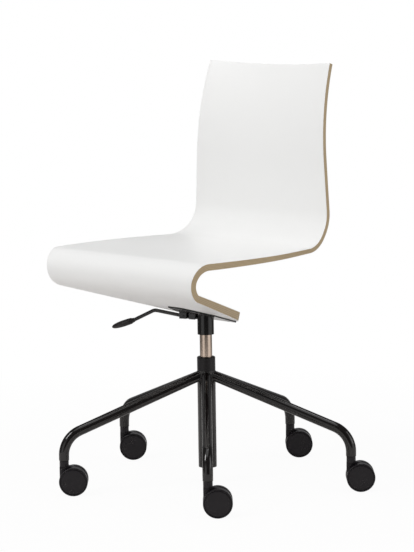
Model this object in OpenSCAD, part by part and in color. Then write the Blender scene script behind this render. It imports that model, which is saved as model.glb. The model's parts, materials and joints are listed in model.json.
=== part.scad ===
// Swivel chair with a one-piece moulded plywood shell on a five-leg tube base with casters.
// Millimetres. +Z is up, the chair faces -Y, +X is the sitter's left.
// The origin is on the floor, on the column's axis.

/* [Shell outline] */
// Width of the back at its top edge
back_top_w = 364; // [330:1:420]
// Width where the back turns into the seat
back_low_w = 401; // [350:1:450]
// Widest width of the seat
seat_w = 483; // [430:1:520]
// Width at the nose of the front roll
nose_w = 446; // [410:1:490]
// Width of the lower flange where it leaves the roll
flange_front_w = 421; // [360:1:450]
// Width of the lower flange at its rear end, before the corners are rounded
flange_end_w = 132; // [125:1:200]
// Corner radius at the rear end of the flange
flange_corner_r = 42; // [20:1:60]

/* [Shell profile] */
// Length of the lower flange along its slope
flange_len = 296; // [260:1:330]
// How far the rear end of the flange reaches behind the column's axis, along its slope
flange_overhang = 52.2; // [46:0.1:70]
// Slope of the lower flange in degrees
flange_slope = 17.5; // [12:0.1:22]
// Outer radius of the front roll
roll_r = 42; // [36:0.1:60]
// Length of the flat of the seat
seat_len = 323.2; // [280:1:360]
// Slope of the seat towards the back in degrees
seat_slope = 0.3; // [0:0.1:4]
// Front-face radius where the seat turns up into the back
bend_r = 71.4; // [55:1:100]
// Forward lean of the flat in the small of the back in degrees
lumbar_lean = 0.6; // [0:0.1:4]
// Length of the flat in the small of the back
lumbar_len = 111.8; // [70:1:150]
// Radius of the rearward curve of the upper back
back_r = 586; // [450:5:800]
// Recline of the back at its top edge in degrees
back_recline = 20.1; // [12:0.1:26]
// How far the middle of the top edge lies behind its corners
back_bow = 20; // [0:1:30]

/* [Shell thickness] */
// Thickness of the shell at the top edge
top_t = 10; // [8:0.1:14]
// Thickness where the back turns into the seat
bend_t = 10.2; // [9:0.1:16]
// Thickness at the front of the seat
seat_front_t = 14.7; // [11:0.1:18]
// Thickness in the front roll
roll_t = 15.3; // [12:0.1:20]
// Thickness of the lower flange at its rear end
flange_t = 19.5; // [14:0.1:22]
// Thickness of each laminate face
laminate_t = 0.6; // [0.5:0.1:1.2]

/* [Mounting plate] */
// Width of the mounting plate
plate_w = 116; // [110:1:124]
// Width of the mounting plate's narrow front end
plate_front_w = 44; // [36:1:100]
// Length of the mounting plate along the slope
plate_l = 138; // [125:1:150]
// Length of its parallel rear part
plate_side_l = 73; // [50:1:80]
// How far the mounting plate reaches behind the column's axis, along the slope
plate_overhang = 42; // [38:1:46]
// Thickness of the mounting plate
plate_t = 3; // [2.5:0.5:4]
// Corner radius of the mounting plate
plate_corner_r = 6; // [3:1:9]
// Outer diameter of the hub
hub_d = 36; // [34:0.5:42]
// Height of the hub on the column's axis
hub_h = 37.75; // [34:0.05:50]
// Diameter of the plate screws
screw_d = 6; // [5:1:8]
// Distance between the two front plate screws
screw_front_span = 56; // [50:1:60]
// Distance between the two rear plate screws
screw_rear_span = 88; // [80:1:94]
// Distance between the front and the rear screws along the slope
screw_rows = 88; // [84:1:92]
// Distance of the rear screws from the rear edge of the plate
screw_edge = 16; // [14:1:20]
// Length of the plate screws under their heads
screw_len = 17; // [15:0.5:18]
// Outer diameter of the insert nuts
insert_d = 9; // [8.5:0.5:12]
// Length of the insert nuts
insert_len = 13; // [10:0.5:14]

/* [Gas spring] */
// Visible length of the pressure tube between collar and hub
lift_gap = 50; // [46:0.5:70]
// Outer diameter of the pressure tube
tube_d = 27; // [25:0.5:28]
// Wall of the pressure tube
tube_wall = 2; // [1.5:0.1:2.5]
// Length of the pressure tube
tube_len = 220; // [210:1:230]
// Diameter of the piston rod
rod_d = 10; // [8:0.5:12]
// Diameter of the release pin
pin_d = 8; // [6:0.5:9]
// Length of the release pin above the valve head
pin_out = 9.6; // [8:0.1:12]

/* [Column] */
// Diameter of the column
column_d = 40; // [38:1:50]
// Wall of the column
column_wall = 2; // [1.5:0.1:3]
// Height of the column's lower end above the floor
column_low = 36; // [30:1:45]
// Length of the column tube
column_len = 215; // [205:1:225]
// Height of the guide collar
collar_h = 30; // [20:1:36]
// Length of the guide sleeve inside the column
sleeve_len = 71; // [60:1:80]
// Thickness of the column's bottom plate
bottom_t = 5; // [4:0.5:6]

/* [Legs] */
// Diameter of the leg tubes
leg_d = 22; // [20:0.5:25]
// Wall of the leg tubes
leg_wall = 2; // [1.5:0.1:2.5]
// Height at which the sloping centrelines of the legs would meet the stems
leg_corner_z = 124.4; // [122:0.1:128]
// Height of the leg centrelines on the column's axis
leg_root_z = 245; // [240:1:247]
// Centreline radius of the leg bends
leg_bend_r = 55; // [48:1:58]
// Radius of the circle through the caster stems
stem_circle_r = 326; // [310:1:330]
// Height of the lower leg ends above the floor
leg_low = 76; // [72:0.5:79]
// Azimuth of the first leg from straight ahead in degrees
leg_turn = 45; // [0:1:71]

/* [Casters] */
// Wheel diameter
wheel_d = 62; // [56:1:64]
// Width of one wheel
wheel_w = 14; // [12:0.5:16]
// Width across both wheels
caster_w = 42; // [40:0.5:46]
// Distance of the axle behind the stem
trail = 20; // [17:0.5:24]
// Diameter of the caster neck
neck_d = 20; // [18:0.5:22]
// Diameter of the caster stem
stem_d = 10; // [9:0.5:11]
// Length of the stem inside the leg
stem_up = 24; // [20:0.5:26]
// Diameter of the caster axle
axle_d = 8; // [6:0.5:9]
// Direction in which the casters trail, from the sitter's left in degrees
caster_turn = 45; // [0:1:359]

/* [Lever] */
// Angle by which the lever is swept forward in degrees
lever_sweep = 19.3; // [10:0.1:25]
// Distance of the lever pivot from the column's axis
pivot_reach = 52; // [50:1:53]
// Drop of the lever pivot below the mounting plate
pivot_drop = 6.2; // [5.8:0.1:8]
// Diameter of the lever rod
lever_d = 8; // [6:0.5:8]
// Length of the lever rod from the pivot to its bend
lever_inner_len = 73.4; // [64:0.1:90]
// Rise of the lever rod from the pivot to its bend in degrees
lever_rise = 7.6; // [5:0.1:7.8]
// Length of the lever rod from its bend to the grip
lever_outer_len = 57; // [40:1:80]
// Droop of the outer end of the lever in degrees
lever_droop = 26; // [10:1:30]
// Length of the grip
grip_len = 58; // [50:1:75]
// Width of the grip
grip_w = 22; // [16:1:28]
// Thickness of the grip
grip_t = 14.5; // [12:0.5:18]
// Angle by which the grip lies flatter than the rod in degrees
grip_tilt = 6.8; // [0:0.1:8]
// Length of the rod inside the grip
rod_in_grip = 16; // [12:1:20]
// Diameter of the lever's pivot pin
pivot_d = 5; // [4:0.5:5]

/* [Hidden] */
$fn = 48;

// Clearances and overruns shared by all pieces
fit_gap = 0.06;    // radial clearance of a shaft that turns or slides in a hole
run_gap = 0.3;     // gap between faces that pass each other
wheel_gap = 0.5;   // gap between a wheel and its housing
overrun = 2;       // how far a cut runs past the solid it cuts
bend_swell = 0.1;  // the bends of rods and tubes are this much thicker than their straights
bend_lap = 0.5;    // the straights reach this far into the bends

// Column, from the floor up
column_r = column_d / 2;
column_in_r = column_r - column_wall;
column_top = column_low + column_len;
collar_top = column_top + collar_h;
collar_chamfer = 1.2;
collar_lip = 1.5;          // chamfer at the mouth of the guide bore
bottom_recess = 4;         // the bottom plate sits this far inside the column
bottom_z = column_low + bottom_recess;
bottom_top = bottom_z + bottom_t;

// Thrust bearing on the bottom plate
race_t = 2;
ball_d = 3.5;
ball_count = 10;
race_r = 14;
ball_circle_r = 9.5;
spigot_r = rod_d * 0.4;    // lower end of the rod, which turns in the bottom plate
balls_z = bottom_top + race_t + ball_d / 2;
upper_race_z = bottom_top + race_t + ball_d + run_gap;
shoulder_z = upper_race_z + race_t;
clip_t = 1.2;
clip_r = rod_d * 0.7;
groove_r = rod_d * 0.32;
clip_z = bottom_z - run_gap - clip_t;
spigot_recess = 1;         // the rod ends this far above the column's lower end
rod_low = column_low + spigot_recess;

// Gas spring
tube_r = tube_d / 2;
tube_in_r = tube_r - tube_wall;
guide_r = tube_r + fit_gap;
hub_low = collar_top + lift_gap;
hub_face = hub_low + hub_h;                    // underside of the plate on the axis
pin_clear = 0.4;                               // gap between the release pin and the lever
lever_play = 2.6;                              // room under the release pin for its stroke
seal_h = 10;
piston_h = 14;
valve_h = 15;
valve_pin_depth = 12;                          // how far the release pin reaches into the valve head
piston_up = 88;                                // height of the piston's underside in the tube

// Mounting plate and flange plane, which tilt about the point where the axis meets them
seat_z = hub_face + plate_t / cos(flange_slope);
screw_y = plate_overhang - screw_edge;
SCREWS = [
  [screw_front_span / 2, screw_y - screw_rows],
  [-screw_front_span / 2, screw_y - screw_rows],
  [screw_rear_span / 2, screw_y],
  [-screw_rear_span / 2, screw_y]
];
screw_r = screw_d / 2;
screw_head_r = screw_d;
screw_head_h = plate_t * 0.9;                  // the countersunk heads lie flush in the plate
screw_hole_gap = 0.3;
hex_r = screw_d * 0.33;
hex_depth = screw_d * 0.2;

// Lever, in a frame turned by the sweep, with the lever along its -X
function plate_under(y) = hub_face - y * tan(flange_slope);
pivot_z = plate_under(-pivot_reach * sin(lever_sweep)) - pivot_drop;
pivot_boss_r = 4.2;
arm_t = 3.2;
arm_w = 9;
tongue_reach = 5;
tongue_drop = 3;                               // the middle of the tongue lies this far under the pivot
pivot_r = pivot_d / 2;
lever_bend_r = 2.5 * lever_d;
lever_tangent = lever_bend_r * tan((lever_rise + lever_droop) / 2);
ear_gap = 0.4;
ear_t = 2.5;
ear_l = 17;
ear_below = 5;
cheek_l = 15;                                  // cheeks that guide the lever's arm next to the hub
cheek_gap = 4;                                 // between the hub and the cheeks
cheek_below = 5.5;
window_side = 2;                               // room on each side of the arm in the hub's window
window_w = arm_w + 2 * window_side;
tongue_low = pivot_z - tongue_drop - arm_t / 2;
pin_top = tongue_low - pin_clear;
valve_top = pin_top - pin_out;
tube_top = valve_top;
tube_low = tube_top - tube_len;
piston_z = tube_low + piston_up;

// Legs and casters
leg_count = 5;
leg_r = leg_d / 2;
leg_in_r = leg_r - leg_wall;
leg_slope = atan((leg_root_z - leg_corner_z) / stem_circle_r);
leg_tangent = leg_bend_r * tan((90 - leg_slope) / 2);
leg_bend_z = leg_corner_z - leg_tangent;
leg_straight = (stem_circle_r - leg_tangent * cos(leg_slope)) / cos(leg_slope);
socket_low_h = leg_bend_z - leg_low;
stem_proud = 2;            // the stem's end stands this far above its socket
socket_wall = 2;
socket_h = stem_up - stem_proud;
stem_r = stem_d / 2;
socket_top_r = stem_r + socket_wall;
wheel_r = wheel_d / 2;
neck_r = neck_d / 2;
axle_r = axle_d / 2;
core_half = caster_w / 2 - wheel_w - wheel_gap;
housing_r = wheel_r * 0.92;
wheel_top_clear = 1;
neck_low = wheel_r + sqrt(pow(wheel_r + wheel_top_clear, 2) - pow(trail - neck_r, 2));
neck_top = leg_low - run_gap;
stem_down = neck_top - wheel_r * 1.6;
axle_end = caster_w / 2 - wheel_w * 0.2;
wheel_rim_t = wheel_r * 0.14;
wheel_boss_r = wheel_r * 0.26;
wheel_pocket = wheel_w * 0.6;
wheel_chamfer = 1.4;
wheel_dish = 0.5;
wheel_lip = 2.6;           // width of the raised lip round the dished face
wheel_dish_r = wheel_r - wheel_lip;

// Shell profile: each stretch is [length, heading where it starts, turn], headings in degrees in the
// YZ plane, from the rear end of the flange forward, round the roll, along the seat and up the back.
// The profile is the face that shows in front; the shell's thickness lies on its right-hand side.
function arc_len(r, turn) = r * turn * PI / 180;
roll_turn = 180 - flange_slope + seat_slope;
bend_turn = 90 + lumbar_lean + seat_slope;
back_turn = lumbar_lean + back_recline;
STRETCHES = [
  [flange_len, 180 - flange_slope, 0],
  [arc_len(roll_r, roll_turn), 180 - flange_slope, -roll_turn],
  [seat_len, -seat_slope, 0],
  [arc_len(bend_r, bend_turn), -seat_slope, bend_turn],
  [lumbar_len, 90 + lumbar_lean, 0],
  [arc_len(back_r, back_turn), 90 + lumbar_lean, -back_turn]
];
function chord_share(half) = half == 0 ? 1 : sin(half) / (half * PI / 180);
function along(stretch, part) =
  let (half = stretch[2] * part / 2, len = stretch[0] * part * chord_share(half))
  [len * cos(stretch[1] + half), len * sin(stretch[1] + half)];
function start_of(i) = i == 0
  ? [flange_overhang * cos(flange_slope), seat_z - flange_overhang * sin(flange_slope)]
  : start_of(i - 1) + along(STRETCHES[i - 1], 1);
function run_to(i) = i == 0 ? 0 : run_to(i - 1) + STRETCHES[i - 1][0];
STARTS = [for (i = [0 : 5]) start_of(i)];
RUNS = [for (i = [0 : 6]) run_to(i)];

// A smooth curve through keys [run, value]
function key_slope(keys, i) =
  let (a = max(i - 1, 0), b = min(i + 1, len(keys) - 1))
  (keys[b][1] - keys[a][1]) / (keys[b][0] - keys[a][0]);
function key_at(keys, run, i = 0) = i >= len(keys) - 2 || run <= keys[i + 1][0] ? i : key_at(keys, run, i + 1);
function curve(keys, run) =
  let (i = key_at(keys, run), h = keys[i + 1][0] - keys[i][0], t = (run - keys[i][0]) / h)
  keys[i][1] * (1 + 2 * t) * pow(1 - t, 2) + key_slope(keys, i) * h * t * pow(1 - t, 2)
  + keys[i + 1][1] * t * t * (3 - 2 * t) + key_slope(keys, i + 1) * h * t * t * (t - 1);

widest_from_share = 0.16;     // of the seat's length, where it is widest
widest_to_share = 0.62;
bend_width_share = 0.1;       // of the narrowing from the seat to the back that is left in mid-bend
taper_left_share = 0.05;      // of the thinning that is left where the roll and the bend begin
lumbar_thinning_share = 0.3;  // of the thinning from the bend to the top that is done in the lumbar flat
function between(a, b, share) = a + (b - a) * share;
WIDTH_KEYS = [
  [RUNS[0], flange_end_w],
  [RUNS[1], flange_front_w],
  [between(RUNS[1], RUNS[2], 1 / 2), nose_w],
  [between(RUNS[2], RUNS[3], widest_from_share), seat_w],
  [between(RUNS[2], RUNS[3], widest_to_share), seat_w],
  [between(RUNS[3], RUNS[4], 1 / 2), between(back_low_w, seat_w, bend_width_share)],
  [RUNS[4], back_low_w],
  [RUNS[6], back_top_w]
];
THICKNESS_KEYS = [
  [RUNS[0], flange_t],
  [RUNS[1], between(roll_t, flange_t, taper_left_share)],
  [between(RUNS[1], RUNS[2], 1 / 2), roll_t],
  [RUNS[2], seat_front_t],
  [RUNS[3], between(bend_t, seat_front_t, taper_left_share)],
  [RUNS[4], between(bend_t, top_t, lumbar_thinning_share)],
  [RUNS[6], top_t]
];
bow_power = 1.5;
function corner_cut(run) = run >= flange_corner_r ? 0
  : flange_corner_r - sqrt(pow(flange_corner_r, 2) - pow(flange_corner_r - run, 2));
function half_width(run) = curve(WIDTH_KEYS, run) / 2 - corner_cut(run);
function bow(run) = run <= RUNS[3] ? 0 : back_bow * pow((run - RUNS[3]) / (RUNS[6] - RUNS[3]), bow_power);

// Stations along the profile: [stretch, share of its length]
corner_steps = 4;
STEPS = [4, 14, 6, 9, 3, 8];
corner_share = flange_corner_r / flange_len;
STATIONS = concat(
  [for (k = [0 : corner_steps - 1]) [0, corner_share * (1 - cos(90 * k / corner_steps))]],
  [for (k = [0 : STEPS[0] - 1]) [0, corner_share + (1 - corner_share) * k / STEPS[0]]],
  [for (i = [1 : 5]) for (k = [0 : STEPS[i] - 1]) [i, k / STEPS[i]]],
  [[5, 1]]
);
columns = 8;

// Points across one station at a depth, given as a share of the core plus a number of laminates
function row_points(station, core_share, laminates) =
  let (
    i = station[0],
    run = RUNS[i] + STRETCHES[i][0] * station[1],
    base = STARTS[i] + along(STRETCHES[i], station[1]),
    heading = STRETCHES[i][1] + STRETCHES[i][2] * station[1],
    core = curve(THICKNESS_KEYS, run) - 2 * laminate_t,
    depth = core * core_share + laminate_t * laminates
  )
  [for (j = [0 : columns])
    let (across = 2 * j / columns - 1, d = depth + bow(run) * (1 - across * across))
    [across * half_width(run), base[0] + sin(heading) * d, base[1] - cos(heading) * d]];

// One layer of the shell between two depths
module layer(front, rear) {
  rows = len(STATIONS);
  n = columns + 1;
  shift = rows * n;
  points = concat(
    [for (s = STATIONS) each row_points(s, front[0], front[1])],
    [for (s = STATIONS) each row_points(s, rear[0], rear[1])]
  );
  faces = concat(
    [for (i = [0 : rows - 2]) for (j = [0 : columns - 1]) each let (a = i * n + j, b = a + shift) [
      [a, a + n, a + n + 1],
      [a, a + n + 1, a + 1],
      [b, b + n + 1, b + n],
      [b, b + 1, b + n + 1]
    ]],
    [for (i = [0 : rows - 2]) each let (a = i * n, b = a + shift, c = a + columns, d = c + shift) [
      [a, b, b + n],
      [a, b + n, a + n],
      [c, d + n, d],
      [c, c + n, d + n]
    ]],
    [for (j = [0 : columns - 1]) each let (a = j, b = a + shift, c = (rows - 1) * n + j, d = c + shift) [
      [a, a + 1, b + 1],
      [a, b + 1, b],
      [c, d + 1, c + 1],
      [c, d, d + 1]
    ]]
  );
  polyhedron(points = points, faces = faces, convexity = 6);
}

// Placements
module on_plate() {
  translate([0, 0, seat_z]) rotate([-flange_slope, 0, 0]) children();
}
module at_screws() {
  for (p = SCREWS) on_plate() translate([p[0], p[1], 0]) children();
}
module on_lever() {
  rotate([0, 0, lever_sweep]) children();
}
module at_leg(k) {
  rotate([0, 0, leg_turn - 90 + k * 360 / leg_count]) children();
}
module at_caster(k) {
  a = leg_turn - 90 + k * 360 / leg_count;
  translate([stem_circle_r * cos(a), stem_circle_r * sin(a), 0]) rotate([0, 0, caster_turn]) children();
}
module on_axle() {
  translate([trail, 0, wheel_r]) rotate([90, 0, 0]) children();
}

// Everything above the mounting plate's underside
module above_plate() {
  size = seat_len;
  on_plate() translate([-size / 2, -size / 2, -plate_t]) cube([size, size, size]);
}

module ring(r_out, r_in, h) {
  difference() {
    cylinder(h = h, r = r_out);
    translate([0, 0, -overrun]) cylinder(h = h + 2 * overrun, r = r_in);
  }
}

// Column and its bearings
module column_tube() {
  color("#232022") translate([0, 0, column_low]) ring(column_r, column_in_r, column_len);
}

module guide_bush() {
  color("#262426") difference() {
    union() {
      translate([0, 0, column_top]) cylinder(h = collar_h - collar_chamfer, r = column_r);
      translate([0, 0, collar_top - collar_chamfer])
        cylinder(h = collar_chamfer, r1 = column_r, r2 = column_r - collar_chamfer);
      translate([0, 0, column_top - sleeve_len]) cylinder(h = sleeve_len, r = column_in_r - fit_gap);
    }
    translate([0, 0, column_top - sleeve_len - overrun])
      cylinder(h = sleeve_len + collar_h + 2 * overrun, r = guide_r);
    translate([0, 0, collar_top - collar_lip])
      cylinder(h = collar_lip + collar_lip, r1 = guide_r, r2 = guide_r + 2 * collar_lip);
  }
}

module bottom_plate() {
  color("#3a383a") translate([0, 0, bottom_z]) ring(column_in_r - fit_gap, spigot_r + fit_gap, bottom_t);
}

module bearing_lower_race() {
  color("#8d8f92") translate([0, 0, bottom_top]) ring(race_r, spigot_r + run_gap, race_t);
}

module bearing_balls() {
  color("#c8cacc") for (k = [0 : ball_count - 1])
    rotate([0, 0, k * 360 / ball_count]) translate([ball_circle_r, 0, balls_z]) sphere(d = ball_d);
}

module bearing_upper_race() {
  color("#8d8f92") translate([0, 0, upper_race_z]) ring(race_r, spigot_r, race_t);
}

// Gas spring
module piston_rod() {
  color("#b9babd") difference() {
    union() {
      translate([0, 0, shoulder_z]) cylinder(h = piston_z + piston_h - shoulder_z, r = rod_d / 2);
      translate([0, 0, rod_low]) cylinder(h = shoulder_z - rod_low, r = spigot_r);
    }
    translate([0, 0, clip_z]) ring(spigot_r + overrun, groove_r, clip_t);
  }
}

module piston_head() {
  color("#5a5b5e") translate([0, 0, piston_z]) ring(tube_in_r - fit_gap, rod_d / 2, piston_h);
}

module retaining_clip() {
  color("#9a9ca0") translate([0, 0, clip_z]) difference() {
    ring(clip_r, groove_r, clip_t);
    translate([0, -groove_r, -overrun]) cube([clip_r + overrun, 2 * groove_r, clip_t + 2 * overrun]);
  }
}

module pressure_tube() {
  color("#8a8078") translate([0, 0, tube_low]) ring(tube_r, tube_in_r, tube_len);
}

module valve_head() {
  color("#77797c") translate([0, 0, tube_top - valve_h]) difference() {
    cylinder(h = valve_h, r = tube_in_r);
    translate([0, 0, valve_h - valve_pin_depth - run_gap])
      cylinder(h = valve_pin_depth + run_gap + overrun, r = pin_d / 2 + fit_gap);
  }
}

module rod_seal() {
  color("#1d1d1f") translate([0, 0, tube_low]) ring(tube_in_r, rod_d / 2 + fit_gap, seal_h);
}

module release_pin() {
  color("#c2c4c6") translate([0, 0, valve_top - valve_pin_depth + lever_play])
    cylinder(h = pin_top - valve_top + valve_pin_depth - lever_play, r = pin_d / 2);
}

// Hub, plate and fasteners
module seat_hub() {
  color("#262426") difference() {
    translate([0, 0, hub_low]) cylinder(h = hub_h + hub_d, r = hub_d / 2);
    translate([0, 0, hub_low - overrun]) cylinder(h = hub_h + 2 * hub_d, r = tube_r);
    above_plate();
    on_lever() translate([-hub_d, -window_w / 2, tongue_low - run_gap - lever_play])
      cube([hub_d, window_w, hub_h]);
  }
}

module mounting_plate() {
  color("#1c1a1c") difference() {
    on_plate() translate([0, plate_overhang, -plate_t]) linear_extrude(height = plate_t) plate_outline();
    at_screws() translate([0, 0, -plate_t]) {
      translate([0, 0, -overrun]) cylinder(h = plate_t + 2 * overrun, r = screw_r + screw_hole_gap);
      screw_head();
    }
  }
}

// Outline of the plate behind its rear edge, which lies on y = 0, with rounded rear corners
module plate_outline() {
  w = plate_w / 2;
  r = plate_corner_r;
  polygon([
    [-w, -plate_side_l], [-plate_front_w / 2, -plate_l], [plate_front_w / 2, -plate_l], [w, -plate_side_l],
    [w, -r], [w - r, 0], [r - w, 0], [-w, -r]
  ]);
  for (side = [-1, 1]) translate([side * (w - r), -r]) circle(r = r);
}

module screw_head() {
  cylinder(h = screw_head_h, r1 = screw_head_r, r2 = screw_r);
}

module plate_screws() {
  color("#2b2a2c") at_screws() translate([0, 0, -plate_t]) difference() {
    union() {
      screw_head();
      cylinder(h = screw_len, r = screw_r);
    }
    translate([0, 0, -overrun]) cylinder(h = hex_depth + overrun, r = hex_r, $fn = 6);
  }
}

module insert_nuts() {
  color("#a7a9ac") at_screws() ring(insert_d / 2, screw_r, insert_len);
}

// Shell
module insert_holes() {
  at_screws() translate([0, 0, -overrun]) cylinder(h = screw_len - plate_t + 2 * overrun, r = insert_d / 2);
}

module shell_core() {
  color("#a5937a") difference() {
    layer([0, 1], [1, 1]);
    insert_holes();
  }
}

module shell_front_laminate() {
  color("#f4f4f2") difference() {
    layer([0, 0], [0, 1]);
    insert_holes();
  }
}

module shell_rear_laminate() {
  color("#f1f1ef") layer([1, 1], [1, 2]);
}

// Lever
// Two upright walls beside the lever's arm, from a distance before the column's axis inwards
module walls(from, len, below) {
  for (side = [-1, 1]) translate([-from, side * (arm_w / 2 + ear_gap + ear_t / 2) - ear_t / 2, pivot_z - below])
    cube([len, ear_t, below + ear_l]);
}

module lever_bracket() {
  color("#201e20") difference() {
    on_lever() {
      walls(pivot_reach + ear_l / 2, ear_l, ear_below);
      walls(hub_d / 2 + cheek_gap + cheek_l, cheek_l, cheek_below);
    }
    above_plate();
    at_pivot() cylinder(h = arm_w + 4 * ear_t + 2 * overrun, r = pivot_r, center = true);
  }
}

module at_pivot() {
  on_lever() translate([-pivot_reach, 0, pivot_z]) rotate([90, 0, 0]) children();
}

module lever_pin() {
  pin_len = arm_w + 2 * (ear_gap + ear_t);
  color("#8f9194") at_pivot() {
    cylinder(h = pin_len, r = pivot_r, center = true);
    for (side = [-1, 1]) translate([0, 0, side * (pin_len + ear_t / 2) / 2])
      cylinder(h = ear_t / 2, r = pivot_r * 1.4, center = true);
  }
}

module lever_rod() {
  color("#262426") on_lever() translate([-pivot_reach, 0, pivot_z]) difference() {
    union() {
      rotate([90, 0, 0]) cylinder(h = arm_w, r = pivot_boss_r, center = true);
      translate([0, -arm_w / 2, -tongue_drop - arm_t / 2]) cube([pivot_reach + tongue_reach, arm_w, arm_t]);
      rotate([0, lever_rise, 0]) {
        rotate([0, -90, 0]) cylinder(h = lever_inner_len - lever_tangent + bend_lap, r = lever_d / 2);
        translate([lever_tangent - lever_inner_len, 0, -lever_bend_r]) {
          rotate([90, 0, 0]) rotate([0, 0, 90]) rotate_extrude(angle = lever_rise + lever_droop)
            translate([lever_bend_r, 0]) circle(r = lever_d / 2 + bend_swell);
          rotate([0, -lever_rise - lever_droop, 0]) translate([bend_lap, 0, lever_bend_r]) rotate([0, -90, 0])
            cylinder(h = lever_outer_len + rod_in_grip - lever_tangent + bend_lap, r = lever_d / 2);
        }
      }
    }
    rotate([90, 0, 0]) cylinder(h = arm_w + 2 * overrun, r = pivot_r + fit_gap, center = true);
  }
}

// The outer part of the lever, with the lever along its own -X from the bend
module lever_bend() {
  rotate([0, lever_rise, 0]) translate([-lever_inner_len, 0, 0])
    rotate([0, -lever_rise - lever_droop, 0]) children();
}

module lever_grip() {
  collar_l = grip_t * 0.3;
  collar_r = grip_t * 0.36;
  root_d = grip_t * 0.95;
  tip_d = grip_t * 0.7;
  widest_share = 0.55;
  color("#2a282a") on_lever() translate([-pivot_reach, 0, pivot_z]) lever_bend() difference() {
    translate([-lever_outer_len, 0, 0]) rotate([0, grip_tilt, 0]) {
      rotate([0, -90, 0]) cylinder(h = collar_l * 2, r = collar_r);
      hull() {
        translate([-collar_l - root_d / 2, 0, 0]) scale([1, grip_w / grip_t, 1]) sphere(d = root_d, $fn = 24);
        translate([-grip_len * widest_share, 0, 0]) scale([1, grip_w / grip_t, 1]) sphere(d = grip_t, $fn = 24);
        translate([-grip_len + tip_d / 2, 0, 0]) scale([1, grip_w / grip_t, 1]) sphere(d = tip_d, $fn = 24);
      }
    }
    rotate([0, -90, 0]) cylinder(h = lever_outer_len + rod_in_grip, r = lever_d / 2);
  }
}

// Legs and casters
module leg_path(r, extra) {
  translate([0, 0, leg_root_z]) rotate([0, 90 + leg_slope, 0]) cylinder(h = leg_straight + bend_lap, r = r);
  translate([stem_circle_r - leg_bend_r, 0, leg_bend_z]) rotate([90, 0, 0])
    rotate_extrude(angle = 90 - leg_slope) translate([leg_bend_r, 0]) circle(r = r + bend_swell);
  translate([stem_circle_r, 0, leg_low - extra]) cylinder(h = leg_bend_z - leg_low + extra + bend_lap, r = r);
}

module leg(k) {
  color("#232022") at_leg(k) difference() {
    leg_path(leg_r, 0);
    leg_path(leg_in_r, overrun);
    cylinder(h = 2 * leg_root_z, r = column_r);
  }
}

module stem_socket(k) {
  color("#1b1a1c") at_leg(k) translate([stem_circle_r, 0, leg_low]) difference() {
    union() {
      cylinder(h = socket_low_h, r = leg_in_r - fit_gap);
      cylinder(h = socket_h, r = socket_top_r);
    }
    translate([0, 0, -overrun]) cylinder(h = socket_h + 2 * overrun, r = stem_r + fit_gap);
  }
}

module caster_stem(k) {
  color("#b4b5b8") at_caster(k) translate([0, 0, neck_top - stem_down])
    cylinder(h = stem_down + run_gap + stem_up, r = stem_r);
}

module caster_housing(k) {
  color("#1e1d20") at_caster(k) difference() {
    union() {
      translate([0, 0, neck_low]) cylinder(h = neck_top - neck_low, r = neck_r);
      translate([0, core_half, 0]) rotate([90, 0, 0]) linear_extrude(height = 2 * core_half) {
        translate([trail, wheel_r]) circle(r = housing_r);
        translate([-neck_r, wheel_r]) square([trail, neck_low - wheel_r]);
        translate([0, wheel_r]) square([trail, neck_low - wheel_r]);
        translate([0, wheel_r]) circle(r = neck_r);
      }
    }
    translate([0, 0, neck_top - stem_down]) cylinder(h = stem_down + overrun, r = stem_r);
    on_axle() cylinder(h = caster_w, r = axle_r, center = true);
  }
}

module caster_axle(k) {
  color("#a9aaad") at_caster(k) on_axle() cylinder(h = 2 * axle_end, r = axle_r, center = true);
}

// A wheel about its axle: an outer disc with a rim and a boss, hollow towards the housing
module wheel(k, side) {
  inner = caster_w / 2 - wheel_w;
  outer = caster_w / 2;
  color("#242226") at_caster(k) on_axle() mirror([0, 0, side > 0 ? 0 : 1]) rotate_extrude() polygon([
    [axle_r + fit_gap, inner],
    [wheel_boss_r, inner],
    [wheel_boss_r, inner + wheel_pocket],
    [wheel_r - wheel_rim_t, inner + wheel_pocket],
    [wheel_r - wheel_rim_t, inner],
    [wheel_r - wheel_chamfer, inner],
    [wheel_r, inner + wheel_chamfer],
    [wheel_r, outer - wheel_chamfer],
    [wheel_r - wheel_chamfer, outer],
    [wheel_dish_r, outer],
    [wheel_dish_r - wheel_dish, outer - wheel_dish],
    [0, outer - wheel_dish],
    [0, axle_end + fit_gap],
    [axle_r + fit_gap, axle_end + fit_gap]
  ]);
}

column_tube();
guide_bush();
bottom_plate();
bearing_lower_race();
bearing_balls();
bearing_upper_race();
piston_rod();
piston_head();
retaining_clip();
pressure_tube();
valve_head();
rod_seal();
release_pin();
seat_hub();
mounting_plate();
plate_screws();
insert_nuts();
shell_core();
shell_front_laminate();
shell_rear_laminate();
lever_bracket();
lever_pin();
lever_rod();
lever_grip();
for (k = [0 : leg_count - 1]) {
  leg(k);
  stem_socket(k);
  caster_housing(k);
  caster_stem(k);
  caster_axle(k);
  wheel(k, 1);
  wheel(k, -1);
}
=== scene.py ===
"""Visual model of a swivel chair with a moulded plywood shell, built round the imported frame."""

import json
import math
import random

import bmesh
import bpy
from mathutils import Matrix, Vector


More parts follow.
